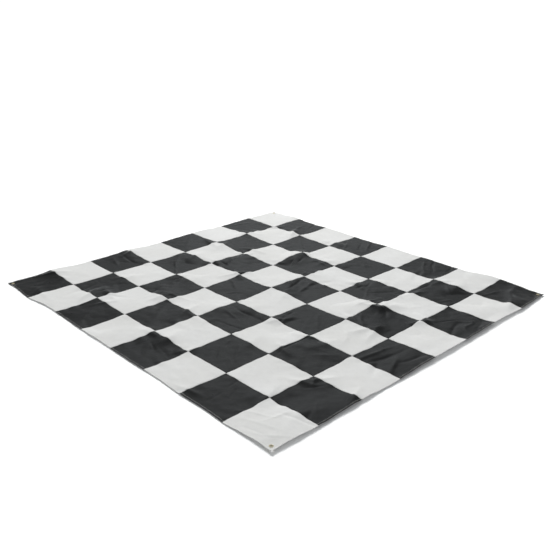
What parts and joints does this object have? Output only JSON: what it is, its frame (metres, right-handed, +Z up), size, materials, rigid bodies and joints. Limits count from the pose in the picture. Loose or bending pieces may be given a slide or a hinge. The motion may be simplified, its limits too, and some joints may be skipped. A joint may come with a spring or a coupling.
{
  "type": "lawn chess mat",
  "caption": "Square sheet of sewn black and white nylon squares, lying in loose ripples, with a stitched hem and a brass eyelet in each corner.",
  "frame": {"origin": "under the middle of the mat, on the ground it lies on", "axes": "+Z up; +X along the rows, from the left side to the right side; +Y from the near side to the far side, across the fold"},
  "size_m": [2.8, 2.8, 0.0279],
  "materials": {
    "white_nylon": "matt coated nylon",
    "black_nylon": "satin coated nylon",
    "white_thread": "twisted polyester thread",
    "black_thread": "twisted polyester thread",
    "brass": "rolled, lightly weathered"
  },
  "bodies": {
    "near_half": {"row_1_white": "white_nylon", "row_1_black": "black_nylon", "row_2_white": "white_nylon", "row_2_black": "black_nylon", "row_3_white": "white_nylon", "row_3_black": "black_nylon", "row_4_white": "white_nylon", "row_4_black": "black_nylon", "joining_thread_row_1": "black_thread", "joining_thread_row_2": "black_thread", "joining_thread_row_3": "black_thread", "joining_thread_row_4": "black_thread", "seam_thread_1_2": "black_thread", "seam_thread_2_3": "black_thread", "seam_thread_3_4": "black_thread", "seam_thread_4_5": "black_thread", "hem_thread_near": "white_thread", "hem_thread_left_near": "white_thread", "hem_thread_right_near": "white_thread", "eyelet_front": "brass", "washer_front": "brass", "eyelet_right": "brass", "washer_right": "brass"},
    "far_half": {"row_5_white": "white_nylon", "row_5_black": "black_nylon", "row_6_white": "white_nylon", "row_6_black": "black_nylon", "row_7_white": "white_nylon", "row_7_black": "black_nylon", "row_8_white": "white_nylon", "row_8_black": "black_nylon", "joining_thread_row_5": "black_thread", "joining_thread_row_6": "black_thread", "joining_thread_row_7": "black_thread", "joining_thread_row_8": "black_thread", "seam_thread_5_6": "black_thread", "seam_thread_6_7": "black_thread", "seam_thread_7_8": "black_thread", "hem_thread_far": "white_thread", "hem_thread_left_far": "white_thread", "hem_thread_right_far": "white_thread", "eyelet_back": "brass", "washer_back": "brass", "eyelet_left": "brass", "washer_left": "brass"}
  },
  "joints": [
    {"name": "centre_fold", "type": "hinge", "parent": "near_half", "child": "far_half", "pos_m": [0, 0, 0.024], "axis": [1, 0, 0], "range_deg": [0, 180]}
  ]
}
